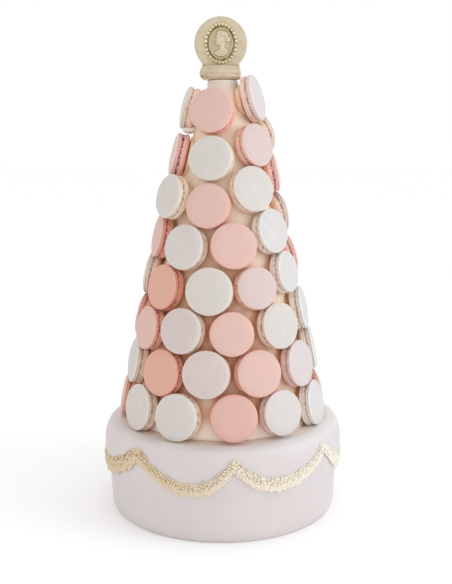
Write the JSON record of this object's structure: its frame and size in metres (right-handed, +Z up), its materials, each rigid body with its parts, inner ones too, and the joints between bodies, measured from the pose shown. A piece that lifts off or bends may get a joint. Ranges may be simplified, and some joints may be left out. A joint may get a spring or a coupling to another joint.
{
  "type": "wedding cake",
  "caption": "Wedding cake: a tall cone covered with pink and white macarons on a round fondant tier with a swag garland, topped by a sugar medallion with pearls and a cameo.",
  "frame": {"origin": "middle of the tier's flat underside", "axes": "+Z up the cone's axis, -Y towards the front, the side that the cameo faces"},
  "size_m": [0.4538, 0.4564, 0.9],
  "materials": {
    "fondant_white": "satin rolled fondant",
    "fondant_ivory": "satin rolled fondant",
    "macaron_pink": "matt baked shell",
    "macaron_white": "matt baked shell",
    "sugar_champagne": "satin sugar paste",
    "sugar_gold": "pearly sugar paste",
    "cameo_cream": "satin sugar paste"
  },
  "bodies": {
    "root": {"tier": "fondant_white", "garland": "sugar_gold", "cone": "fondant_ivory", "macaron_1_01": "macaron_pink", "macaron_1_02": "macaron_white", "macaron_1_03": "macaron_white", "macaron_1_04": "macaron_pink", "macaron_1_05": "macaron_white", "macaron_1_06": "macaron_white", "macaron_1_07": "macaron_pink", "macaron_2_01": "macaron_white", "macaron_2_02": "macaron_pink", "macaron_2_03": "macaron_white", "macaron_2_04": "macaron_pink", "macaron_2_05": "macaron_white", "macaron_2_06": "macaron_white", "macaron_2_07": "macaron_white", "macaron_3_01": "macaron_pink", "macaron_3_02": "macaron_white", "macaron_3_03": "macaron_pink", "macaron_3_04": "macaron_white", "macaron_3_05": "macaron_white", "macaron_3_06": "macaron_pink", "macaron_3_07": "macaron_pink", "macaron_4_01": "macaron_white", "macaron_4_02": "macaron_pink", "macaron_4_03": "macaron_white", "macaron_4_04": "macaron_pink", "macaron_4_05": "macaron_white", "macaron_4_06": "macaron_pink", "macaron_5_01": "macaron_pink", "macaron_5_02": "macaron_white", "macaron_5_03": "macaron_pink", "macaron_5_04": "macaron_white", "macaron_5_05": "macaron_white", "macaron_6_01": "macaron_white", "macaron_6_02": "macaron_pink", "macaron_6_03": "macaron_white", "macaron_6_04": "macaron_pink", "macaron_7_01": "macaron_pink", "macaron_7_02": "macaron_white", "macaron_7_03": "macaron_pink", "macaron_7_04": "macaron_white", "macaron_8_01": "macaron_white", "macaron_8_02": "macaron_pink", "macaron_8_03": "macaron_white", "macaron_pair_1_08": "macaron_white", "macaron_pair_1_09": "macaron_pink", "macaron_pair_1_10": "macaron_white", "macaron_pair_1_11": "macaron_pink", "macaron_pair_4_07": "macaron_white", "macaron_pair_4_08": "macaron_pink", "macaron_pair_4_09": "macaron_white", "macaron_pair_5_06": "macaron_pink", "macaron_pair_5_07": "macaron_white", "macaron_pair_5_08": "macaron_pink", "macaron_pair_7_05": "macaron_pink", "topper_collar": "sugar_champagne", "topper_disc": "sugar_champagne", "cameo": "cameo_cream"}
  },
  "joints": []
}
